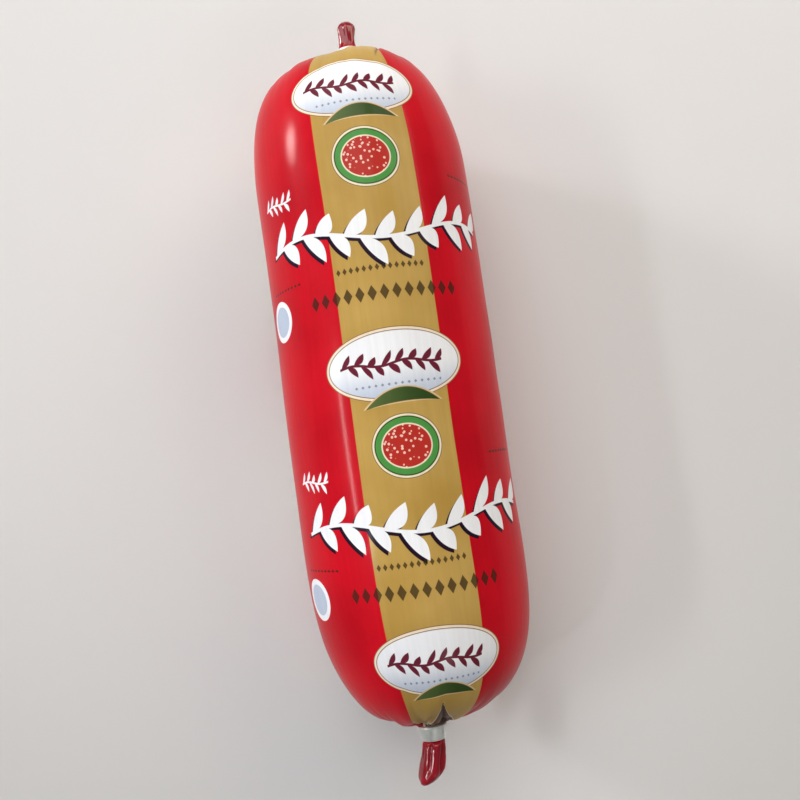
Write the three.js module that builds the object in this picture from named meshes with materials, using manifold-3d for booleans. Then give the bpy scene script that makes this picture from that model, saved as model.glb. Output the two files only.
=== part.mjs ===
// A clipped chub of cured sausage, lying on its side.
//
// One length of printed film is filled with salami, gathered at both ends, and closed by a crimped
// aluminium clip round each neck. The film past each clip is folded together into a short tail.
// Millimetres, +Z up, +X towards the head end. The origin is on the surface that the chub lies on,
// under the middle of its whole length.

import * as THREE from "three";
import { mergeVertices } from "three/addons/utils/BufferGeometryUtils.js";
import Module from "manifold-3d";

// The filled body
const bodyDiameter = 58.3;
const bodyLength = 180.6; // between the two rounded ends, necks left out
const bendDepth = 2.5; // sideways swing of the body's slight S, at its ends
const bendTurn = 0.2; // how strongly the S turns back in the middle
const flatDepth = 0.8; // how far the underside is pressed flat by the chub's own weight

// The gathered necks, alike at both ends
const neckDiameter = 4.4; // the film inside a closed clip
const neckSquash = 0.12; // how much wider than high the neck and the tail are
const shoulderDiameter = 17; // where the rounded end turns up into the neck
const pleatCount = 8;
const pleatInnerRadius = 4; // closer in, the pleats run out into the neck

// The clips, alike at both ends
const clipBand = 4; // along the neck
const clipWall = 1.35; // at the end that faces the body
const clipTaper = 0.35; // how much thinner the wall is at the end that faces the tail
const clipClearance = 0.3; // between a clip and the film inside it
const clipStandoff = 1.3; // from the body's end to the clip
const clipRounding = 0.45; // on the band's edges
const seamWidth = 0.4; // the gap between the clip's two closed legs

// The two ends. A fullness of 2 is an ellipse, and more is squarer.
const headEnd = {
  toward: 1,
  capLength: 37.1, // the length over which the body rounds over
  fullnessAlong: 2.14,
  fullnessAcross: 3.69,
  neckSide: -1.2, // where the neck stands, measured across
  pleatDepth: 0.6,
  pleatReach: 15, // radius at which the pleats fade out
  tailLength: 8,
  tailDiameter: 5.4,
  tailSwell: 3, // the length over which the film opens out past the clip
  tailLean: -0.05, // sideways run of the tail for each millimetre of its length
};
const footEnd = {
  toward: -1,
  capLength: 49.7,
  fullnessAlong: 3.09,
  fullnessAcross: 2.51,
  neckSide: 1.7,
  pleatDepth: 1,
  pleatReach: 22,
  tailLength: 11.8,
  tailDiameter: 7,
  tailSwell: 4,
  tailLean: 0.27,
};

// How finely the surfaces are divided
const casingSides = 48;
const capSteps = 14;
const shoulderSteps = 6;
const tailSteps = 5;
const clipSides = 28;
const cornerSteps = 2;

const bodyRadius = bodyDiameter / 2;
const halfLength = bodyLength / 2;
const neckRadius = neckDiameter / 2;
const clipStart = halfLength + clipStandoff; // from the middle of the body, at either end
const clipEnd = clipStart + clipBand;
const neckStart = clipStart - clipClearance;
const neckEnd = clipEnd + clipClearance;
const quarterTurn = Math.PI / 2;

const wasm = await Module();
wasm.setup();

const filmMaterial = new THREE.MeshStandardMaterial({ color: "#b3202b", roughness: 0.25, metalness: 0 });
const clipMaterial = new THREE.MeshStandardMaterial({ color: "#b9bdb8", roughness: 0.35, metalness: 1 });

// The profile of one end, as points of radius and distance from the body's middle, from the middle out.
function endProfile(end) {
  const capAngle = Math.acos((shoulderDiameter / bodyDiameter) ** (end.fullnessAcross / 2));
  const capPoint = (angle) =>
    new THREE.Vector2(
      bodyRadius * Math.cos(angle) ** (2 / end.fullnessAcross),
      halfLength - end.capLength * (1 - Math.sin(angle) ** (2 / end.fullnessAlong)),
    );
  const points = [];
  for (let step = 0; step <= capSteps; step++) points.push(capPoint((capAngle * step) / capSteps));

  const shoulder = new THREE.QuadraticBezierCurve(
    capPoint(capAngle),
    new THREE.Vector2(neckRadius, halfLength),
    new THREE.Vector2(neckRadius, neckStart),
  );
  points.push(...shoulder.getPoints(shoulderSteps).slice(1));

  const tailRadius = end.tailDiameter / 2;
  const roundStart = neckEnd + end.tailLength - tailRadius;
  const tail = new THREE.QuadraticBezierCurve(
    new THREE.Vector2(neckRadius, neckEnd),
    new THREE.Vector2(tailRadius, neckEnd),
    new THREE.Vector2(tailRadius, neckEnd + end.tailSwell),
  );
  points.push(...tail.getPoints(tailSteps));
  for (let step = 0; step < tailSteps; step++) {
    const angle = (quarterTurn * step) / tailSteps;
    points.push(new THREE.Vector2(tailRadius * Math.cos(angle), roundStart + tailRadius * Math.sin(angle)));
  }
  points.push(new THREE.Vector2(0, roundStart + tailRadius));
  return points;
}

// How far the body's own middle line swings sideways at a distance along it.
function bendAt(along) {
  const share = THREE.MathUtils.clamp(along / halfLength, -1, 1);
  return bendDepth * (share ** 3 - bendTurn * share);
}

// Moves a point of the straight casing to where the bent and gathered film lies.
function gather(point) {
  const end = point.x > 0 ? headEnd : footEnd;
  const radius = Math.hypot(point.y, point.z);
  const along = Math.abs(point.x);
  if (along < neckStart) {
    const risen = THREE.MathUtils.smoothstep(radius, neckRadius, pleatInnerRadius);
    const faded = THREE.MathUtils.smoothstep(radius, pleatInnerRadius, end.pleatReach);
    const valley = (1 + Math.cos(pleatCount * Math.atan2(point.y, point.z))) / 2;
    point.x -= end.toward * end.pleatDepth * risen * (1 - faded) * valley;
  }

  const squash = neckSquash * THREE.MathUtils.smoothstep(along, halfLength, neckStart);
  const onBody = THREE.MathUtils.smoothstep(radius, shoulderDiameter / 2, bodyRadius);
  const lean = end.tailLean * Math.max(0, along - neckEnd);
  const middle = THREE.MathUtils.lerp(end.neckSide, bendAt(point.x), onBody) + lean;
  point.y = point.y * (1 + squash) + middle;
  point.z *= 1 - squash;
  return point;
}

// A closed geometry with its shared vertices merged, each moved by a function.
function moulded(geometry, move) {
  geometry.deleteAttribute("normal");
  geometry.deleteAttribute("uv");
  const merged = mergeVertices(geometry);
  const positions = merged.attributes.position;
  const point = new THREE.Vector3();
  for (let index = 0; index < positions.count; index++) {
    move(point.fromBufferAttribute(positions, index));
    positions.setXYZ(index, point.x, point.y, point.z);
  }
  return mergeVertices(merged);
}

function solidFrom(geometry) {
  return new wasm.Manifold(
    new wasm.Mesh({
      numProp: 3,
      vertProperties: geometry.attributes.position.array,
      triVerts: new Uint32Array(geometry.index.array),
    }),
  );
}

function geometryFrom(solid) {
  const mesh = solid.getMesh();
  return new THREE.BufferGeometry()
    .setAttribute("position", new THREE.BufferAttribute(mesh.vertProperties, 3))
    .setIndex(new THREE.BufferAttribute(mesh.triVerts, 1));
}

function withoutBox(geometry, size, place) {
  const box = new THREE.BoxGeometry(...size).translate(...place);
  return geometryFrom(solidFrom(geometry).subtract(solidFrom(moulded(box, (point) => point))));
}

// The stuffed film, with its necks and tails, pressed flat underneath.
function makeCasing() {
  const foot = endProfile(footEnd).map((point) => new THREE.Vector2(point.x, -point.y));
  const profile = [...foot.reverse(), ...endProfile(headEnd)];
  const straight = new THREE.LatheGeometry(profile, casingSides).rotateZ(-quarterTurn);
  const bent = moulded(straight, gather);
  const flatWidth = 2 * bodyRadius;
  return withoutBox(bent, [bodyLength, flatWidth, flatWidth], [0, 0, flatDepth - 2 * bodyRadius]);
}

// A crimped clip: a tapered oval band round the neck, its legs meeting underneath.
function makeClip(end) {
  const inside = neckRadius + clipClearance;
  const corners = [
    [inside, 0],
    [inside + clipWall, 0],
    [inside + clipWall - clipTaper, clipBand],
    [inside, clipBand],
  ].map(([radius, along]) => new THREE.Vector2(radius, along));
  const section = roundedSection(corners, clipRounding);
  const ring = new THREE.LatheGeometry(section, clipSides).rotateZ(-quarterTurn).translate(clipStart, 0, 0);
  const oval = moulded(ring, (point) => {
    point.y *= 1 + neckSquash;
    point.z *= 1 - neckSquash;
    return point;
  });
  const reach = 2 * (inside + clipWall);
  const cut = withoutBox(oval, [2 * clipBand, seamWidth, reach], [clipStart + clipBand / 2, 0, -reach / 2]);
  if (end.toward < 0) cut.rotateZ(Math.PI);
  return cut.translate(0, end.neckSide, 0);
}

// A closed section through the given corners, each rounded by an arc.
function roundedSection(corners, rounding) {
  const points = [];
  corners.forEach((corner, index) => {
    const before = corners.at(index - 1).clone().sub(corner).setLength(rounding);
    const after = corners[(index + 1) % corners.length].clone().sub(corner).setLength(rounding);
    const arc = new THREE.QuadraticBezierCurve(before.add(corner), corner, after.add(corner));
    points.push(...arc.getPoints(cornerSteps));
  });
  points.push(points[0].clone());
  return points;
}

function named(name, geometry, material) {
  const mesh = new THREE.Mesh(geometry, material);
  mesh.name = name;
  return mesh;
}

const chub = new THREE.Group();
chub.add(
  named("filled_casing", makeCasing(), filmMaterial),
  named("head_clip", makeClip(headEnd), clipMaterial),
  named("foot_clip", makeClip(footEnd), clipMaterial),
);

// The group's origin goes under the middle of everything, on the pressed flat.
const extent = new THREE.Box3().setFromObject(chub);
const centre = extent.getCenter(new THREE.Vector3());
chub.children.forEach((mesh) => mesh.position.set(-centre.x, -centre.y, -extent.min.z));

export default chub;
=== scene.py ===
import math

import bmesh
import bpy
from mathutils import Matrix, Vector


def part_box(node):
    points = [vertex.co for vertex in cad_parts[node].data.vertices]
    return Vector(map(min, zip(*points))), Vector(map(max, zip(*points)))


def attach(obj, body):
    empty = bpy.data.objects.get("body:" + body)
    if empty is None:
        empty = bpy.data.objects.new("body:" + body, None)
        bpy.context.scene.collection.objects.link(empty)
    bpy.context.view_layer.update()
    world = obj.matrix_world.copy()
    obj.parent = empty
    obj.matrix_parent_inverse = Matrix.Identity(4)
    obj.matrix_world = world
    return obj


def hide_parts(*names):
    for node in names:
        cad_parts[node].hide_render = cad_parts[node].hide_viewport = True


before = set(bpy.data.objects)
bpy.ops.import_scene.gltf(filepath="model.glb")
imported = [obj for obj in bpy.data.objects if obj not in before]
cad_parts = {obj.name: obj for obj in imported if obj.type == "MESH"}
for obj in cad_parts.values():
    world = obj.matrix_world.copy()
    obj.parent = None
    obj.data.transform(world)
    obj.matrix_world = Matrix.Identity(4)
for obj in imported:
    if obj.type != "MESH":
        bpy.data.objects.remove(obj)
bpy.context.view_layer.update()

mm = 0.001


# A value in a node tree, so that a rule reads as a sum. The same maths nodes serve shapes and materials.
class Field:
    def __init__(self, tree, socket):
        self.tree = tree
        self.socket = socket

    def op(self, operation, *others, clamp=False):
        node = self.tree.nodes.new("ShaderNodeMath")
        node.operation = operation
        node.use_clamp = clamp
        for slot, value in zip(node.inputs, (self, *others)):
            feed(self.tree, value, slot)
        return Field(self.tree, node.outputs[0])

    def __add__(self, other):
        return self.op("ADD", other)

    def __radd__(self, other):
        return self.op("ADD", other)

    def __sub__(self, other):
        return self.op("SUBTRACT", other)

    def __rsub__(self, other):
        return (self * -1) + other

    def __mul__(self, other):
        return self.op("MULTIPLY", other)

    def __rmul__(self, other):
        return self.op("MULTIPLY", other)

    def __truediv__(self, other):
        return self.op("DIVIDE", other)

    def __pow__(self, other):
        return self.op("POWER", other)

    def __neg__(self):
        return self * -1

    def abs(self):
        return self.op("ABSOLUTE")

    def sin(self):
        return self.op("SINE")

    def cos(self):
        return self.op("COSINE")

    def floor(self):
        return self.op("FLOOR")

    def clamp(self):
        return self.op("ADD", 0.0, clamp=True)

    def least(self, other):
        return self.op("MINIMUM", other)

    def most(self, other):
        return self.op("MAXIMUM", other)

    def above(self, other):
        return self.op("GREATER_THAN", other)

    def wrap(self, low, high):
        return self.op("WRAP", high, low)

    # Eases from 0 to 1 as the value goes from start to end.
    def between(self, start, end):
        node = self.tree.nodes.new("ShaderNodeMapRange")
        node.interpolation_type = "SMOOTHSTEP"
        for slot, value in zip(node.inputs, (self, start, end, 0.0, 1.0)):
            feed(self.tree, value, slot)
        return Field(self.tree, node.outputs[0])


def feed(tree, value, slot):
    if isinstance(value, Field):
        tree.links.new(value.socket, slot)
    elif isinstance(value, bpy.types.NodeSocket):
        tree.links.new(value, slot)
    else:
        slot.default_value = value


def vector(tree, x, y, z):
    node = tree.nodes.new("ShaderNodeCombineXYZ")
    for slot, value in zip(node.inputs, (x, y, z)):
        feed(tree, value, slot)
    return node.outputs[0]


def parts(tree, socket):
    node = tree.nodes.new("ShaderNodeSeparateXYZ")
    tree.links.new(socket, node.inputs[0])
    return [Field(tree, output) for output in node.outputs]


def noise(tree, place, scale, detail=2.0, roughness=0.5):
    node = tree.nodes.new("ShaderNodeTexNoise")
    tree.links.new(place, node.inputs["Vector"])
    node.inputs["Scale"].default_value = scale
    node.inputs["Detail"].default_value = detail
    node.inputs["Roughness"].default_value = roughness
    return Field(tree, node.outputs[0])


# Sharp valleys, 1 at their floor, where a noise crosses its middle value.
def valleys(value, width):
    return (1 - (value * 2 - 1).abs() / width).clamp()


# The body: a length of printed film, filled tight and gathered at both ends. Millimetres and radians.
casing = {
    "standoff": 1.3,  # from the rounded end to the clip
    "clearance": 0.3,  # along the neck, between the film and each edge of the clip
    "flatDepth": 0.8,  # underside pressed flat
    "bendDepth": 2.5, "bendTurn": 0.2,  # the slight S of the body
    "neckDiameter": 4.4, "neckSquash": 0.12,
    "shoulderDiameter": 17.0,
    # The film stands out past the neck at the clip's rim, a little before the clip, and tucks in.
    "lip": 1.9, "lipBack": 0.22, "lipSweep": 0.55, "tuck": (0.12, 0.3),
    "rimTurn": 0.62, "mouthDepth": 0.25,  # of the tails' ends: share of a half turn, and the hollow
    "lump": 0.3, "lumpLength": 24.0,  # unevenness of the filling
    "seamTurn": 2.62, "seamWidth": 6.0, "seamHeight": 0.16,  # the film's overlap, low on the back
    # Folds that run out from the necks. Their drift is along the fold, and they fade between two
    # shares of each end's reach.
    "wideFolds": {"count": 2.6, "drift": 0.035, "detail": 1.5, "width": 0.34, "fade": (0.12, 1.0)},
    "narrowFolds": {"count": 5.5, "drift": 0.05, "detail": 1.0, "width": 0.3, "fade": (0.05, 0.6)},
    "narrowDepth": 0.45,  # of the wide folds' depth
    "foldStart": (1.8, 4.2), "dishStart": (1.2, 4.5),  # past the neck's radius, clear of the clip's rim
    "pleat": {"drift": 3.0, "spread": 7.6, "point": 0.05, "line": (0.35, 1.4), "sag": 0.35},  # the slack one
    "neckFolds": 9, "neckFold": 0.17,  # folds round the neck, their depth as a share of its radius
    "neckFoldStart": 9.0,  # radius at which they begin
    "tailFolds": {"count": 0.8, "drift": 0.07, "width": 0.42},
    "legNotch": 0.12, "legNotchHalf": 0.5,  # where the clip's legs bite in
    "tailTwist": 62.0,  # how far the film has turned in the clips, measured along the girth
    "seed": 4.0,
    "around": 384,  # points round the body
    "steps": {
        "body": 16, "cap": 56, "shoulder": 12, "tuck": 5, "clip": 4,
        "swell": 8, "tail": 8, "rim": 6, "mouth": 3,
    },
    "head": {
        "capLength": 37.1, "fullness": (2.14, 3.69), "reach": 29.0, "depth": 2.1, "dish": 1.7,
        "tailDiameter": 4.9, "tailSwell": 3.0, "lean": -0.05, "slant": 0.0, "fold": 0.2,
        "flare": 0.1, "rounding": 0.95, "dent": 1.5, "dentSide": 9.0, "dentReach": 23.5,
    },
    "foot": {
        "capLength": 49.7, "fullness": (3.09, 2.51), "reach": 25.0, "depth": 1.8, "dish": 0.2,
        "tailDiameter": 7.0, "tailSwell": 4.0, "lean": 0.19, "slant": 0.3, "fold": 0.2,
        "flare": 0.16, "rounding": 0.72, "dent": 1.5, "dentSide": 1.3, "dentReach": 22.0,
    },
}

casingBox, footBox, headBox = (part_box(name) for name in ("filled_casing", "foot_clip", "head_clip"))
bodyRadius = (casingBox[1][2] - casingBox[0][2]) / 2 / mm + casing["flatDepth"] / 2
headClipStart = headBox[0][0] / mm
footClipStart = footBox[1][0] / mm
clipBand = (headBox[1][0] - headBox[0][0]) / mm
halfLength = (headClipStart - footClipStart) / 2 - casing["standoff"]
middle = Vector(((headClipStart + footClipStart) / 2, 0, bodyRadius - casing["flatDepth"]))
neckRadius = casing["neckDiameter"] / 2
neckStart = halfLength + casing["standoff"]
neckEnd = neckStart + clipBand + casing["clearance"]
for name, clipBox, tip in (("head", headBox, casingBox[1][0]), ("foot", footBox, casingBox[0][0])):
    casing[name]["side"] = (clipBox[0][1] + clipBox[1][1]) / 2 / mm
    casing[name]["tip"] = abs(tip / mm - middle.x)


# A quadratic curve's points after its first.
def arc(start, corner, end, steps):
    curve = []
    for step in range(1, steps + 1):
        t = step / steps
        weights = ((1 - t) ** 2, 2 * t * (1 - t), t * t)
        corners = zip(start, corner, end)
        curve.append(tuple(sum(w * v for w, v in zip(weights, values)) for values in corners))
    return curve


# The outline of one end from the body's middle out, as distance along and radius.
def endOutline(end):
    steps = casing["steps"]
    alongPower, acrossPower = end["fullness"]
    capStart = halfLength - end["capLength"]
    points = [(capStart * step / steps["body"], bodyRadius) for step in range(steps["body"])]
    lastAngle = math.acos((casing["shoulderDiameter"] / 2 / bodyRadius) ** (acrossPower / 2))
    for step in range(steps["cap"]):
        angle = lastAngle * (step / (steps["cap"] - 1)) ** 1.2  # finer at first, where a small turn goes far
        along = halfLength - end["capLength"] * (1 - math.sin(angle) ** (2 / alongPower))
        points.append((along, bodyRadius * math.cos(angle) ** (2 / acrossPower)))
    # The film sweeps up to the rim of the clip, covers its mouth and tucks in.
    rim = (neckStart - casing["lipBack"], neckRadius + casing["lip"])
    sweep = (halfLength + casing["lipSweep"], neckRadius + casing["lip"] * 2)
    points += arc(points[-1], sweep, rim, steps["shoulder"])
    tuckStart, tuckEnd = casing["tuck"]
    points += arc(rim, (neckStart - tuckStart, neckRadius), (neckStart + tuckEnd, neckRadius), steps["tuck"])
    for step in range(1, steps["clip"]):
        points.append((neckStart + clipBand * step / steps["clip"], neckRadius))

    tipRadius = end["tailDiameter"] / 2 * (1 + end["flare"] / 2)
    tailRadius = tipRadius / (1 + end["flare"])
    rim = tipRadius * end["rounding"]  # the rounded end of the folded film
    swellEnd = neckEnd + end["tailSwell"]
    rimStart = end["tip"] - rim
    points.append((neckEnd, neckRadius))
    points += arc((neckEnd, neckRadius), (neckEnd, tailRadius), (swellEnd, tailRadius), steps["swell"])
    for step in range(1, steps["tail"] + 1):
        share = step / steps["tail"]
        along = swellEnd + (rimStart - swellEnd) * share
        points.append((along, tailRadius + (tipRadius - tailRadius) * share))
    for step in range(1, steps["rim"] + 1):
        angle = math.pi * casing["rimTurn"] * step / steps["rim"]
        points.append((rimStart + rim * math.sin(angle), tipRadius - rim * (1 - math.cos(angle))))
    mouth = points[-1]
    for step in range(1, steps["mouth"] + 1):
        share = step / steps["mouth"]
        points.append((mouth[0] - casing["mouthDepth"] * share, mouth[1] * (1 - share)))
    return points


# The whole outline as a chain of points. Each knows its length along the film from the body's middle.
def outlineMesh():
    head = endOutline(casing["head"])
    foot = endOutline(casing["foot"])
    chain = [(-along, radius) for along, radius in reversed(foot[1:])] + head
    lengths = [0.0]
    for before, after in zip(chain, chain[1:]):
        lengths.append(lengths[-1] + math.dist(before, after))
    zero = lengths[len(foot) - 1]
    mesh = bpy.data.meshes.new("casingOutline")
    edges = [(index, index + 1) for index in range(len(chain) - 1)]
    mesh.from_pydata([(along, radius, 0) for along, radius in chain], edges, [])
    attribute = mesh.attributes.new("filmLength", "FLOAT", "POINT")
    attribute.data.foreach_set("value", [length - zero for length in lengths])
    return mesh, lengths[-1], zero


# An empty geometry tree with the named inputs. keys holds each socket's identifier.
def newRule(name, sizes):
    tree = bpy.data.node_groups.new(name, "GeometryNodeTree")
    tree.interface.new_socket("Geometry", in_out="INPUT", socket_type="NodeSocketGeometry")
    tree.interface.new_socket("Geometry", in_out="OUTPUT", socket_type="NodeSocketGeometry")
    keys = {}
    for label, value in sizes.items():
        kind = "NodeSocketInt" if isinstance(value, int) else "NodeSocketFloat"
        keys[label] = tree.interface.new_socket(label, in_out="INPUT", socket_type=kind).identifier
    finish = tree.interface.new_socket("Finish", in_out="INPUT", socket_type="NodeSocketMaterial")
    keys["Finish"] = finish.identifier
    source = tree.nodes.new("NodeGroupInput")
    fields = {label: Field(tree, source.outputs[label]) for label in sizes}
    return tree, source, fields, keys


def casingRule(sizes):
    tree, source, size, keys = newRule("Gathered casing", sizes)

    def node(kind, **links):
        made = tree.nodes.new(kind)
        for slot, value in links.items():
            feed(tree, value, made.inputs[slot.replace("_", " ")])
        return made

    def stored(geometry, name, kind, domain, value):
        made = node("GeometryNodeStoreNamedAttribute", Geometry=geometry, Name=name)
        made.data_type = kind
        made.domain = domain
        feed(tree, value, made.inputs["Value"])
        return made.outputs[0]

    def named(name, kind):
        made = tree.nodes.new("GeometryNodeInputNamedAttribute")
        made.data_type = kind
        made.inputs["Name"].default_value = name
        return made.outputs[0]

    grid = node("GeometryNodeMeshGrid", Size_X=1.0, Size_Y=1.0)
    feed(tree, size["Rows"], grid.inputs["Vertices X"])
    feed(tree, size["Around"] + 1, grid.inputs["Vertices Y"])
    index = Field(tree, node("GeometryNodeInputIndex").outputs[0])
    row = ((index + 0.5) / (size["Around"] + 1)).floor()
    column = index - row * (size["Around"] + 1)

    def fromOutline(kind, value):
        sample = tree.nodes.new("GeometryNodeSampleIndex")
        sample.data_type = kind
        tree.links.new(source.outputs["Geometry"], sample.inputs["Geometry"])
        feed(tree, value, sample.inputs["Value"])
        feed(tree, row, sample.inputs["Index"])
        return sample.outputs[0]

    outlinePlace = node("GeometryNodeInputPosition").outputs[0]
    along, radius = parts(tree, fromOutline("FLOAT_VECTOR", outlinePlace))[:2]
    filmLength = Field(tree, fromOutline("FLOAT", named("filmLength", "FLOAT")))
    turn = (column / size["Around"] - 0.5) * (2 * math.pi)  # nought at the top, rising towards -Y
    sine = turn.sin()
    cosine = turn.cos()
    onHead = along.above(0.0)
    toward = onHead * 2 - 1
    out = along.abs()

    def either(label):
        return size["Foot " + label] + (size["Head " + label] - size["Foot " + label]) * onHead

    # Sharp folds that run out from the neck and fade.
    shift = size["Seed"] + onHead * 7.3  # so that the two ends differ
    uneven = noise(tree, vector(tree, sine + shift, cosine, 3.7), 1.6, 0.0)
    share = radius / (either("Reach") * (0.55 + uneven * 0.9))

    def folds(kind):
        count = kind["count"]
        rays = vector(tree, sine * count + shift, cosine * count, radius * kind["drift"])
        carved = valleys(noise(tree, rays, 1.0, kind["detail"]), kind["width"])
        return carved * (1 - share.between(*kind["fade"]))

    def pastNeck(start, end):
        return radius.between(size["Neck radius"] + start, size["Neck radius"] + end) * onCap

    onCap = out.above(size["Half length"] * 0.5) * (1 - out.above(size["Neck start"]))
    rising = pastNeck(*casing["foldStart"])
    hollow = (1 - radius / either("Reach")).clamp() ** 1.5
    dished = hollow * either("Dish") * pastNeck(*casing["dishStart"])
    depths = folds(casing["wideFolds"]) + folds(casing["narrowFolds"]) * casing["narrowDepth"]
    dig = either("Depth") * depths * rising

    # One slack pleat on top opens towards the neck like a tent, with a crease down its middle.
    pleatShape = casing["pleat"]
    nearNeck = (1 - radius / either("Dent reach")).clamp()
    dentMiddle = either("Dent side") + nearNeck * pleatShape["drift"]  # it drifts sideways on its way
    fromDent = (turn * radius - dentMiddle).abs()
    tent = 1 - fromDent / (pleatShape["point"] + nearNeck * pleatShape["spread"])
    lineLeast, lineMore = pleatShape["line"]
    line = (1 - fromDent / (lineLeast + nearNeck * lineMore)).clamp()
    dent = either("Dent") * (tent.clamp() * nearNeck * pleatShape["sag"] + line * nearNeck ** 0.5) * rising

    # The filling's unevenness, and the overlap of the film's edges.
    girth = size["Body radius"]
    lumpPlace = vector(tree, sine * girth, cosine * girth, along)
    lump = (noise(tree, lumpPlace, 1 / casing["lumpLength"], 1.0) * 2 - 1) * size["Lump"]
    fromSeam = (turn - size["Seam turn"]) * girth
    seamEnd = fromSeam.between(size["Seam width"], size["Seam width"] + 0.5)
    overlap = fromSeam.between(-0.3, 0.3) * (1 - seamEnd)
    swell = (lump + overlap * size["Seam height"]) * (radius / girth).between(0.2, 0.8)

    # Folds round the neck, the clip's bite, and the loose folds of the tails.
    onTail = out.between(size["Neck end"], size["Neck end"] + 1.5)
    pinched = ((turn * size["Neck folds"] + uneven * 9).cos() * 0.5 + 0.5) * size["Neck fold"]
    bitten = turn.abs().between(math.pi - casing["legNotchHalf"], math.pi) * size["Leg notch"]
    nearClip = radius.between(casing["neckFoldStart"], size["Neck radius"])
    squeezed = (pinched + bitten) * nearClip * (1 - onTail)
    tailFolds = casing["tailFolds"]
    count = tailFolds["count"]
    tailPlace = vector(tree, sine * count + shift, cosine * count, out * tailFolds["drift"])
    folded = valleys(noise(tree, tailPlace, 1.0, 0.0), tailFolds["width"]) * either("Fold") * onTail
    thickness = (radius + swell) * (1 - squeezed - folded)

    squash = size["Neck squash"] * out.between(size["Half length"], size["Neck start"])
    bodyShare = (along / size["Half length"]).least(1.0).most(-1.0)
    bow = size["Bend depth"] * (bodyShare ** 3 - bodyShare * size["Bend turn"])
    onBody = radius.between(size["Shoulder radius"], girth)
    beyond = (out - size["Neck end"]).most(0.0)
    sideways = either("Side") * (1 - onBody) + bow * onBody + either("Lean") * beyond
    across = -(sine * thickness) * (1 + squash)
    cut = either("Slant") * (across - either("Tail radius")) * (beyond / 10.0).least(1.2)
    level = (cosine * thickness * (1 - squash) + size["Height"]).most(0.0)
    place = vector(
        tree,
        (along - toward * (dig + dent + dished - cut) + size["Middle"]) * mm,
        (across + sideways) * mm,
        level * mm,
    )
    pleat = tent * nearNeck.above(0.0) * onCap * (1 - onHead)
    crest = (line * 1.5).clamp() * (nearNeck * 12).clamp() * onCap * 0.9
    # crease also darkens the film's colour in the material as painted shade, besides roughening it.
    crease = (dig * 0.4 + crest + folded * 2.2 + squeezed * 2).clamp()
    gathered = (1 - radius.between(3.0, 6.0)) * (0.35 + onTail * 0.65)

    twist = size["Tail twist"] * out.above(size["Neck start"] + 1.5)
    filmPlace = vector(tree, filmLength, turn * girth + twist, crease)
    shaped = stored(grid.outputs["Mesh"], "filmPlace", "FLOAT_VECTOR", "POINT", filmPlace)
    shaped = stored(shaped, "gathered", "FLOAT", "POINT", gathered)
    shaped = stored(shaped, "pleat", "FLOAT", "POINT", pleat)
    shaped = node("GeometryNodeSetPosition", Geometry=shaped, Position=place).outputs[0]
    length, girdle, depth = parts(tree, named("filmPlace", "FLOAT_VECTOR"))
    shaped = stored(shaped, "film", "FLOAT2", "CORNER", vector(tree, length, girdle, 0.0))
    bakeAlong = (length + size["Foot film"]) / size["Whole film"]
    bakeAround = parts(tree, grid.outputs["UV Map"])[1]
    margin = 0.004  # of the bake's square, left clear all round
    inner = 0.992
    bakePlace = vector(tree, margin + bakeAlong * inner, margin + bakeAround * inner, 0.0)
    shaped = stored(shaped, "OFBake", "FLOAT2", "CORNER", bakePlace)
    shaped = stored(shaped, "crease", "FLOAT", "POINT", depth)
    shaped = node("GeometryNodeRemoveAttribute", Geometry=shaped, Name="filmPlace").outputs[0]
    mergeGap = 0.004 * mm
    shaped = node("GeometryNodeMergeByDistance", Geometry=shaped, Distance=mergeGap).outputs[0]
    shaped = node("GeometryNodeFlipFaces", Mesh=shaped).outputs[0]
    shaped = node("GeometryNodeSetShadeSmooth", Geometry=shaped).outputs[0]
    shaped = node("GeometryNodeRealizeInstances", Geometry=shaped).outputs[0]
    finished = node("GeometryNodeSetMaterial", Geometry=shaped, Material=source.outputs["Finish"])
    result = tree.nodes.new("NodeGroupOutput")
    tree.links.new(finished.outputs[0], result.inputs[0])
    return tree, keys


# Runs a rule on a host mesh and returns the plain object that it makes.
def grown(name, host, tree, keys, values, material):
    maker = bpy.data.objects.new(name + "Maker", host)
    bpy.context.collection.objects.link(maker)
    modifier = maker.modifiers.new(name, "NODES")
    modifier.node_group = tree
    for label, value in values.items():
        modifier[keys[label]] = value
    modifier[keys["Finish"]] = material
    depsgraph = bpy.context.evaluated_depsgraph_get()
    evaluated = maker.evaluated_get(depsgraph)
    mesh = bpy.data.meshes.new_from_object(evaluated, preserve_all_data_layers=True, depsgraph=depsgraph)
    maker.modifiers.clear()
    bpy.data.objects.remove(maker)
    mesh.name = name
    return placed(name, mesh)


def placed(name, mesh):
    piece = bpy.data.objects.new(name, mesh)
    bpy.context.collection.objects.link(piece)
    return piece


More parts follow.
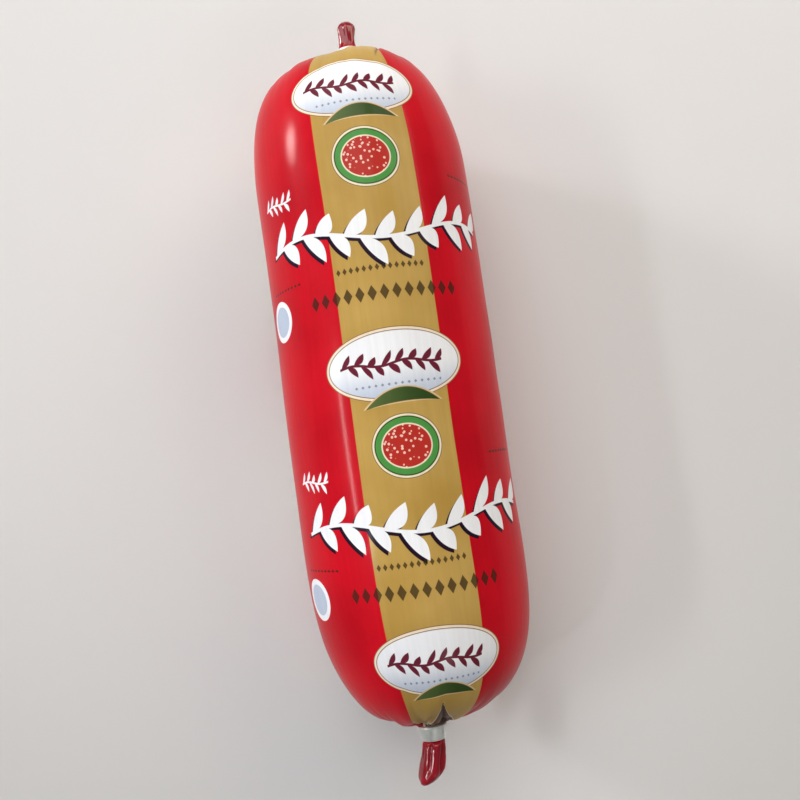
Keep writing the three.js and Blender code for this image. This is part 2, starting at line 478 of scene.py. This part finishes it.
def makeCasing(material):
    outline, wholeFilm, footFilm = outlineMesh()
    sizes = {
        "Rows": len(outline.vertices), "Around": casing["around"], "Seed": casing["seed"],
        "Middle": middle.x, "Height": middle.z, "Whole film": wholeFilm, "Foot film": footFilm,
        "Body radius": bodyRadius, "Half length": halfLength,
        "Shoulder radius": casing["shoulderDiameter"] / 2,
        "Neck radius": neckRadius, "Neck start": neckStart - casing["clearance"], "Neck end": neckEnd,
        "Neck squash": casing["neckSquash"], "Leg notch": casing["legNotch"],
        "Neck folds": casing["neckFolds"], "Neck fold": casing["neckFold"],
        "Tail twist": casing["tailTwist"],
        "Bend depth": casing["bendDepth"], "Bend turn": casing["bendTurn"], "Lump": casing["lump"],
        "Seam turn": casing["seamTurn"], "Seam width": casing["seamWidth"],
        "Seam height": casing["seamHeight"],
    }
    labels = ("reach", "depth", "dish", "side", "lean", "slant", "fold", "dent")
    for end in ("head", "foot"):
        values = casing[end]
        for label in labels:
            sizes[f"{end.capitalize()} {label.capitalize()}"] = float(values[label])
        sizes[f"{end.capitalize()} Dent side"] = float(values["dentSide"])
        sizes[f"{end.capitalize()} Dent reach"] = float(values["dentReach"])
        sizes[f"{end.capitalize()} Tail radius"] = values["tailDiameter"] / 2
    tree, keys = casingRule(sizes)
    piece = grown("printedCasing", outline, tree, keys, sizes, material)
    print("casing:", len(piece.data.polygons), "faces")
    return piece


# The film's print, in millimetres on the flat film: across it, and along it from the print's zero.
# Colours are screen values.
printWork = {
    "zero": -21.94,  # from the body's middle
    "repeat": 71.1, "cellLow": -37.3,
    "edge": 0.13,  # softness of every printed edge
    "red": (207, 17, 35), "redDeep": (184, 12, 28), "gold": (180, 144, 70), "goldPale": (196, 162, 90),
    "cream": (240, 226, 202), "straw": (216, 194, 148), "white": (245, 247, 251),
    "shade": (188, 200, 220), "grey": (140, 152, 172), "brown": (128, 84, 56), "maroon": (108, 34, 52),
    "ink": (48, 36, 26), "navy": (34, 18, 38), "wine": (136, 20, 36), "tentShade": (86, 52, 32),
    "green": (78, 150, 72), "leaf": (50, 74, 34), "fern": (92, 112, 62),
    "meat": (186, 50, 42), "fat": (238, 204, 186),
    "stripe": (-10.2, 14.1),
    "plaque": {"at": (1.85, 23.3), "half": (17.4, 8.8), "outline": 0.18, "rim": 0.6, "line": 0.2},
    "sprig": {"from": -11.8, "cells": 8, "cell": 3.3, "at": 23.6, "sway": 13.2, "rise": 0.5, "stem": 0.32,
              "leaf": (3.9, 0.72), "tilt": 0.85, "bow": 0.35},
    "pearls": {"at": 18.6, "from": -9.0, "to": 12.8, "pitch": 1.6, "half": (0.4, 0.4)},
    "crescent": {
        "at": (2.6, 13.4), "half": (9.0, 1.6), "bow": 2.5, "tilt": 0.02, "halo": 0.42, "outline": 0.12,
    },
    "seal": {"at": (2.1, 3.6), "half": (8.4, 7.6), "outline": 0.15, "rims": (0.5, 0.8, 2.2), "last": -81.0},
    "scroll": {"from": -29.5, "cells": 9, "cell": 7.5, "at": -14.9, "sway": 45.0, "rise": 1.9,
               "stem": 0.42, "leaf": (8.6, 1.75), "tilt": 0.86, "bow": 1.0},
    "scrollShadow": (0.75, 0.65),
    "clear": 86.0,  # past this length from the body's middle, the scroll, twig and rows are left out
    "twig": {"from": -30.9, "cells": 5, "cell": 2.35, "at": -2.2, "sway": 11.7, "rise": 0.4, "stem": 0.24,
             "leaf": (3.1, 0.5), "tilt": 0.98, "bow": 0.3},
    "rows": (
        {"at": -24.0, "from": -9.7, "to": 12.7, "pitch": 1.6, "half": (0.55, 0.85)},
        {"at": -30.2, "from": -17.8, "to": 21.2, "pitch": 3.0, "half": (1.15, 1.95)},
        {"at": -24.0, "from": -33.6, "to": -20.1, "pitch": 1.5, "half": (0.62, 0.4)},
        {"at": -0.5, "from": 24.7, "to": 36.7, "pitch": 1.5, "half": (0.72, 0.42)},
    ),
    "button": {"at": (-30.9, -31.4), "half": (5.3, 5.3)},
    "panel": {
        "at": (-64.0, -2.0), "half": (12.0, 23.0), "rim": 0.5, "margin": 2.4, "pitch": 2.6, "rule": 0.22,
    },
    "buttonRim": 1.4, "sliceGap": 0.35, "fatScale": 0.95, "fatEdge": (0.34, 0.26),
}
filmFinish = {
    "roughness": 0.32, "unevenGloss": 0.12, "creaseRoughness": 0.2, "gatherGloss": 0.1,
    "coat": 0.12, "gatherCoat": 0.85, "coatRoughness": 0.11, "ior": 1.13,
    # creaseDark is painted shade: how much darker the creases and folds are drawn.
    "creaseDark": 0.62, "streak": 0.2, "gatherStreak": 0.15,
    "bumpStrength": 0.25, "bumpHeight": 0.00012,
    "clouds": 38.0, "streaks": (0.03, 0.7), "pulled": (260, 900), "grain": 4500.0,  # patterns' scales
}


# A screen colour as the linear one that a shader takes.
def screen(colour):
    linear = []
    for value in colour:
        share = value / 255
        linear.append(((share + 0.055) / 1.055) ** 2.4 if value > 10 else share / 12.92)
    return linear + [1]


def newMaterial(name):
    material = bpy.data.materials.new(name)
    material.use_nodes = True
    return material, material.node_tree, material.node_tree.nodes["Principled BSDF"]


def mixed(tree, share, first, second):
    node = tree.nodes.new("ShaderNodeMix")
    node.data_type = "RGBA"
    for slot, value in zip((node.inputs[0], node.inputs[6], node.inputs[7]), (share, first, second)):
        feed(tree, value, slot)
    return node.outputs[2]


# Layers of ink on one film. Each shape is a distance in millimetres, below nought inside.
class Printing:
    def __init__(self, tree, across, along, ground):
        self.tree = tree
        self.across = across
        self.along = along
        self.colour = ground

    def lay(self, distance, colour, strength=1.0):
        half = printWork["edge"] / 2
        mask = distance.between(half, -half) * strength
        self.colour = mixed(self.tree, mask, self.colour, colour)

    def oval(self, at, half, grow=0.0):
        x = (self.across - at[0]) / (half[0] + grow)
        y = (self.along - at[1]) / (half[1] + grow)
        return ((x * x + y * y) ** 0.5 - 1) * (min(half) + grow)

    def band(self, low, high):
        return (self.across - (low + high) / 2).abs() - (high - low) / 2

    # A rectangle, and level lines that fill it.
    def box(self, sizes, inset=0.0):
        x = (self.across - sizes["at"][0]).abs() - sizes["half"][0] + inset
        y = (self.along - sizes["at"][1]).abs() - sizes["half"][1] + inset
        return x.most(y)

    def ruled(self, sizes):
        y = (self.across - sizes["at"][0]).wrap(0.0, sizes["pitch"]) - sizes["pitch"] / 2
        return (y.abs() - sizes["rule"]).most(self.box(sizes, sizes["margin"]))

    # One pointed blade, arched towards the head end.
    def blade(self, sizes, grow=0.0):
        length, half = sizes["half"]
        x = (self.across - sizes["at"][0]) / (length + grow * 2)
        swell = 1 - x * x
        y = self.along - sizes["at"][1] - swell * sizes["bow"] - x * length * sizes["tilt"]
        return y.abs() - swell * (half + grow)

    # A row of lozenges.
    def lozenges(self, row):
        x = (self.across - row["from"]).wrap(0.0, row["pitch"]) - row["pitch"] / 2
        y = self.along - row["at"]
        lozenge = (x.abs() / row["half"][0] + y.abs() / row["half"][1] - 1) * (min(row["half"]) * 0.8)
        return lozenge.most(self.band(row["from"], row["to"]))

    # A leafy branch: a swaying stem with slanting blades, above and below it in turn.
    def branch(self, sizes, shift=(0.0, 0.0)):
        run = self.across + (shift[0] - sizes["from"])
        sway = (run * (2 * math.pi / sizes["sway"])).sin() * sizes["rise"]
        rise = self.along + (shift[1] - sizes["at"]) - sway
        cell = sizes["cell"]
        length, half = sizes["leaf"]
        tiltX = math.cos(sizes["tilt"])
        tiltY = math.sin(sizes["tilt"])
        whole = sizes["cells"] * cell
        shape = (rise.abs() - sizes["stem"]).most((run - whole * 0.48).abs() - whole * 0.48)
        for side, start in ((1, 0.0), (-1, cell / 2)):
            x = (run - start).wrap(0.0, cell) - cell * 0.1
            y = rise * side
            size = (((run - start) / cell).floor() * 2.4).sin() * 0.14 + 0.96
            share = (x * tiltX + y * tiltY) * (2 / length) / size - 1
            swell = 1 - share * share
            blade = (y * tiltX - x * tiltY + swell * sizes["bow"]).abs() - swell * half
            reach = whole / 2 - start
            shape = shape.least(blade.most((run - whole / 2).abs() - reach))
        return shape


def fromSurface(tree, name):
    node = tree.nodes.new("ShaderNodeAttribute")
    node.attribute_name = name
    return Field(tree, node.outputs["Fac"])


def printedFilm():
    work = printWork
    material, tree, shader = newMaterial("printedFilm")
    uv = tree.nodes.new("ShaderNodeUVMap")
    uv.uv_map = "film"
    length, across = parts(tree, uv.outputs[0])[:2]
    along = (length - work["zero"]).wrap(work["cellLow"], work["cellLow"] + work["repeat"])
    coordinates = tree.nodes.new("ShaderNodeTexCoord").outputs["Object"]
    crease = fromSurface(tree, "crease")
    gathered = fromSurface(tree, "gathered")

    finish = filmFinish
    cloudy = noise(tree, coordinates, finish["clouds"], 3.0)
    streakAlong, streakAcross = finish["streaks"]
    streakPlace = vector(tree, length * streakAlong, across * streakAcross, 0.0)
    streaks = noise(tree, streakPlace, 1.0, 3.0, 0.6)
    red = mixed(tree, cloudy.between(0.3, 0.75), screen(work["red"]), screen(work["redDeep"]))
    printing = Printing(tree, across, along, red)
    gold = mixed(tree, cloudy.between(0.3, 0.7), screen(work["gold"]), screen(work["goldPale"]))
    printing.lay(printing.band(*work["stripe"]), gold)

    plaque = work["plaque"]
    printing.lay(printing.oval(plaque["at"], plaque["half"], plaque["outline"]), screen(work["brown"]))
    printing.lay(printing.oval(plaque["at"], plaque["half"]), screen(work["cream"]))
    printing.lay(printing.oval(plaque["at"], plaque["half"], -plaque["rim"]), screen(work["brown"]))
    field = printing.oval(plaque["at"], plaque["half"], -plaque["rim"] - plaque["line"])
    lower = (along - plaque["at"][1]).between(1.0, -plaque["half"][1])
    enamel = mixed(tree, lower, screen(work["white"]), screen(work["shade"]))
    printing.lay(field, enamel)
    printing.lay(printing.branch(work["sprig"]), screen(work["maroon"]))
    printing.lay(printing.lozenges(work["pearls"]), screen(work["grey"]))
    crescent = work["crescent"]
    printing.lay(printing.blade(crescent, crescent["halo"]), screen(work["straw"]))
    printing.lay(printing.blade(crescent, crescent["outline"]), screen(work["brown"]))
    reach = crescent["half"][0]
    shaded = mixed(tree, across.between(-reach, reach), screen(work["fern"]), screen(work["leaf"]))
    printing.lay(printing.blade(crescent), shaded)

    seal = work["seal"]
    rims = seal["rims"]
    shown = length.above(seal["last"])
    grows = (seal["outline"], 0.0, *(-rim for rim in rims))
    for grow, ink in zip(grows, ("leaf", "cream", "leaf", "green", "cream")):
        printing.lay(printing.oval(seal["at"], seal["half"], grow), screen(work[ink]), shown)
    meat = printing.oval(seal["at"], seal["half"], -rims[2] - work["sliceGap"])
    fleck = tree.nodes.new("ShaderNodeTexVoronoi")
    fleck.inputs["Scale"].default_value = work["fatScale"]
    tree.links.new(vector(tree, along, across, 0.0), fleck.inputs["Vector"])
    fat = Field(tree, fleck.outputs["Distance"]).between(*work["fatEdge"])
    printing.lay(meat, mixed(tree, fat, screen(work["meat"]), screen(work["fat"])), shown)

    shadow = work["scrollShadow"]
    flat = 1 - length.abs().above(work["clear"])
    printing.lay(printing.branch(work["scroll"], shadow), screen(work["navy"]), flat)
    printing.lay(printing.branch(work["scroll"]), screen(work["white"]), flat)
    printing.lay(printing.branch(work["twig"]), screen(work["white"]), flat)
    for row in work["rows"]:
        printing.lay(printing.lozenges(row), screen(work["ink"]), flat * 0.85)
    panel = work["panel"]
    printing.lay(printing.box(panel), screen(work["gold"]))
    printing.lay(printing.box(panel, panel["rim"]), screen(work["cream"]))
    printing.lay(printing.ruled(panel), screen(work["ink"]), 0.8)
    button = work["button"]
    printing.lay(printing.oval(button["at"], button["half"]), screen(work["white"]))
    printing.lay(printing.oval(button["at"], button["half"], -work["buttonRim"]), screen(work["shade"]))

    # Gathered film shows many layers at once and is also drawn darker as painted shade. Creases are drawn
    # darker as painted shade, and no part is quite one shade.
    # Partly the many layers of gathered film and partly painted shade: the necks and tails are drawn darker,
    # towards wine.
    layeredAndShaded = mixed(tree, gathered * 0.8, printing.colour, screen(work["wine"]))
    pleat = fromSurface(tree, "pleat")
    layeredAndShaded = mixed(tree, pleat.between(0.0, 0.05) * 0.75, layeredAndShaded, screen(work["cream"]))
    # Painted shade: the slack pleat's facets, which face away from the light, are drawn deep umber.
    layeredAndShaded = mixed(tree, pleat.between(0.1, 0.17) * 0.95, layeredAndShaded, screen(work["tentShade"]))
    # Painted shade: the film's colour is multiplied darker where it is creased or folded.
    paintedCreaseShade = 1 - crease * finish["creaseDark"]
    tint = paintedCreaseShade * (1 + (streaks - 0.5) * (finish["streak"] - gathered * finish["gatherStreak"]))
    toned = tree.nodes.new("ShaderNodeMix")
    toned.data_type = "RGBA"
    toned.blend_type = "MULTIPLY"
    toned.inputs[0].default_value = 1.0
    tree.links.new(layeredAndShaded, toned.inputs[6])
    tree.links.new(vector(tree, tint, tint, tint), toned.inputs[7])
    tree.links.new(toned.outputs[2], shader.inputs["Base Color"])

    x, y, z = parts(tree, coordinates)
    pulledAlong, pulledAcross = finish["pulled"]
    pulled = vector(tree, x * pulledAlong, y * pulledAcross, z * pulledAcross)
    fine = noise(tree, pulled, 1.0, 4.0, 0.6)
    grain = noise(tree, coordinates, finish["grain"], 2.0)
    roughness = finish["roughness"] + (fine - 0.5) * finish["unevenGloss"]
    roughness = roughness + crease * finish["creaseRoughness"] - gathered * finish["gatherGloss"]
    tree.links.new(roughness.socket, shader.inputs["Roughness"])
    bump = tree.nodes.new("ShaderNodeBump")
    bump.inputs["Strength"].default_value = finish["bumpStrength"]
    bump.inputs["Distance"].default_value = finish["bumpHeight"]
    height = (fine * 0.8 + streaks * 0.9) * (1 - gathered * 0.7) + grain * 0.1
    tree.links.new(height.socket, bump.inputs["Height"])
    tree.links.new(bump.outputs[0], shader.inputs["Normal"])
    coat = finish["coat"] + gathered * finish["gatherCoat"]
    tree.links.new(coat.socket, shader.inputs["Coat Weight"])
    shader.inputs["Coat Roughness"].default_value = finish["coatRoughness"]
    shader.inputs["IOR"].default_value = finish["ior"]
    print("printed film ready")
    return material


# The clips: a soft aluminium staple, closed round the neck with its legs underneath. Millimetres.
clip = {
    "gap": 0.14,  # to the film
    "taper": 0.9,  # thinner towards the tail
    "squareness": 5.0,  # of the band's section, where 2 is an ellipse
    "seamHalf": 0.09,  # half of the gap between the legs
    "curl": 0.2,  # how far the legs turn in
    "flats": 6, "flatDepth": 0.1,  # left by the closing die
    "groove": 0.1,  # a shallow die line round the band
    "endRounding": 0.45,  # of each leg's end, as a share of the wall
    "endShare": 0.12,  # of the section that is left at the very end of a leg
    "curlRun": 1.6,  # length over which a leg curls in
    "around": 200, "section": 36,
    "dull": (0.8, 0.82, 0.79, 1), "bright": (0.95, 0.97, 0.92, 1), "roughness": 0.42,
    "drawLines": (9000, 500), "clouds": 700.0, "bumpStrength": 0.3, "bumpHeight": 0.00004,
}


def sign(value):
    return math.copysign(1.0, value)


def clipMesh(name, clipBox, toward):
    low, high = (Vector(corner) / mm for corner in clipBox)
    centre = (low + high) / 2
    outerY = (high.y - low.y) / 2
    outerZ = (high.z - low.z) / 2
    innerY = (neckRadius + clip["gap"]) * (1 + casing["neckSquash"])
    innerZ = (neckRadius + clip["gap"]) * (1 - casing["neckSquash"])
    wall = (outerY + outerZ - innerY - innerZ) / 2
    lastTurn = math.pi - clip["seamHalf"] / innerZ
    build = bmesh.new()
    rings = []
    for step in range(clip["around"] + 1):
        turn = lastTurn * (2 * step / clip["around"] - 1)
        toEnd = (lastTurn - abs(turn)) * (innerZ + wall / 2)
        rounding = math.sqrt(max(0.0, 1 - max(0.0, 1 - toEnd / (wall * clip["endRounding"])) ** 2))
        shrink = clip["endShare"] + (1 - clip["endShare"]) * rounding
        curl = clip["curl"] * max(0.0, 1 - toEnd / clip["curlRun"]) ** 2
        flat = clip["flatDepth"] * (1 - math.cos(clip["flats"] * turn)) / 2
        ring = []
        for corner in range(clip["section"]):
            angle = 2 * math.pi * corner / clip["section"]
            power = 2 / clip["squareness"]
            run = sign(math.cos(angle)) * abs(math.cos(angle)) ** power * shrink
            rise = sign(math.sin(angle)) * abs(math.sin(angle)) ** power * shrink
            share = (rise + 1) / 2  # from the inside face to the outside face
            pressed = flat + clip["taper"] * (run + 1) / 2 + clip["groove"] * math.exp(-(run * 4) ** 2)
            spread = share * (1 - pressed / wall)
            radiusY = innerY + (outerY - innerY) * spread - curl
            radiusZ = innerZ + (outerZ - innerZ) * spread - curl
            x = centre.x + toward * run * (high.x - low.x) / 2
            y = centre.y - math.sin(turn) * radiusY
            z = centre.z + math.cos(turn) * radiusZ
            ring.append(build.verts.new(Vector((x, y, z)) * mm))
        rings.append(ring)
    for before, after in zip(rings, rings[1:]):
        for corner in range(clip["section"]):
            following = (corner + 1) % clip["section"]
            build.faces.new((before[corner], before[following], after[following], after[corner]))
    build.faces.new(rings[0])
    build.faces.new(rings[-1])
    bmesh.ops.recalc_face_normals(build, faces=build.faces)
    for face in build.faces:
        face.smooth = True
    mesh = bpy.data.meshes.new(name)
    build.to_mesh(mesh)
    build.free()
    return mesh


def clipMetal():
    material, tree, shader = newMaterial("clipAluminium")
    coordinates = tree.nodes.new("ShaderNodeTexCoord").outputs["Object"]
    x, y, z = parts(tree, coordinates)
    lengthways, roundwise = clip["drawLines"]
    drawn = noise(tree, vector(tree, x * lengthways, y * roundwise, z * roundwise), 1.0, 3.0, 0.6)
    cloudy = noise(tree, coordinates, clip["clouds"], 3.0)
    tone = (drawn * 0.5 + cloudy * 0.5).between(0.25, 0.75)
    colour = mixed(tree, tone, clip["dull"], clip["bright"])
    tree.links.new(colour, shader.inputs["Base Color"])
    shader.inputs["Metallic"].default_value = 1.0
    roughness = clip["roughness"] + cloudy * 0.18 + drawn * 0.08
    tree.links.new(roughness.socket, shader.inputs["Roughness"])
    bump = tree.nodes.new("ShaderNodeBump")
    bump.inputs["Strength"].default_value = clip["bumpStrength"]
    bump.inputs["Distance"].default_value = clip["bumpHeight"]
    height = drawn * 0.6 + cloudy
    tree.links.new(height.socket, bump.inputs["Height"])
    tree.links.new(bump.outputs[0], shader.inputs["Normal"])
    return material


casingPiece = makeCasing(printedFilm())
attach(casingPiece, "root")
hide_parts("filled_casing")

metal = clipMetal()
clipPlaces = (("footClip", "foot_clip", footBox, -1), ("headClip", "head_clip", headBox, 1))
for name, node, clipBox, toward in clipPlaces:
    clipPiece = placed(name, clipMesh(name, clipBox, toward))
    clipPiece.data.materials.append(metal)
    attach(clipPiece, "root")
    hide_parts(node)
    print(name + ":", len(clipPiece.data.polygons), "faces")


view = {
    "place": (-0.02004, 0, 0.24318), "lens": 35.36,
    "right": (-0.13956, -0.99021, -0.00138), "up": (0.98715, -0.13924, 0.07839),
}
studio = {"floor": (0.74, 0.74, 0.74), "floorHalf": 3.0, "sky": 0.16}
lamps = {  # place, aim, size along x, size across, spread, power, colour
    "strip": ((0.03, 0.82, 0.68), (0.0, 0.011, 0.055), 0.26, 0.05, 3.14, 1.8, (1, 1, 1)),
    "soft": ((0.56, 0.76, 0.26), (0.12, 0.01, 0.035), 0.42, 0.42, 0.26, 0.25, (1, 0.99, 0.98)),
    "top": ((0.5, 0.1, 0.62), (0.08, 0.0, 0.04), 0.6, 0.6, 3.14, 3.3, (1, 1, 1)),
    "fill": ((0.55, -0.6, 0.6), (0.04, 0.0, 0.03), 0.6, 0.5, 3.14, 3.8, (1, 0.87, 0.72)),
    "back": ((-0.82, -0.3, 0.8), (-0.1, 0.0, 0.03), 0.42, 0.42, 0.3, 0.04, (1, 1, 0.97)),
    "kicker": ((-0.2, 0.64, 0.79), (-0.102, 0.003, 0.03), 0.16, 0.12, 0.16, 0.005, (1, 1, 1)),
}

camera = bpy.data.objects.new("camera", bpy.data.cameras.new("camera"))
camera.data.lens = view["lens"]
camera.data.clip_start = 0.01
right = Vector(view["right"])
up = Vector(view["up"])
turned = Matrix((right, up, right.cross(up))).transposed().to_4x4()
camera.matrix_world = Matrix.Translation(view["place"]) @ turned
bpy.context.collection.objects.link(camera)
bpy.context.scene.camera = camera

floorMesh = bpy.data.meshes.new("floor")
half = studio["floorHalf"]
floorCorners = [(x * half, y * half, 0) for x, y in ((-1, -1), (1, -1), (1, 1), (-1, 1))]
floorMesh.from_pydata(floorCorners, [], [(0, 1, 2, 3)])
floor = placed("floor", floorMesh)
floorMaterial, _, floorShader = newMaterial("paleFloor")
floorShader.inputs["Base Color"].default_value = (*studio["floor"], 1)
floorShader.inputs["Roughness"].default_value = 0.9
floorMesh.materials.append(floorMaterial)

world = bpy.data.worlds.new("studio")
bpy.context.scene.world = world
world.use_nodes = True
sky = world.node_tree.nodes["Background"]
sky.inputs[0].default_value = (1, 1, 1, 1)
sky.inputs[1].default_value = studio["sky"]
for name, (place, aim, sizeX, sizeY, spread, power, tone) in lamps.items():
    lamp = bpy.data.lights.new(name, "AREA")
    lamp.shape = "RECTANGLE"
    lamp.size = sizeX
    lamp.size_y = sizeY
    lamp.spread = spread
    lamp.energy = power
    lamp.color = tone
    light = bpy.data.objects.new(name, lamp)
    back = (Vector(place) - Vector(aim)).normalized()
    side = (Vector((1, 0, 0)) - back * back.x).normalized()
    turned = Matrix((side, back.cross(side), back)).transposed().to_4x4()
    light.matrix_world = Matrix.Translation(place) @ turned
    bpy.context.collection.objects.link(light)
bpy.context.scene.view_settings.view_transform = "Standard"
print("studio ready")
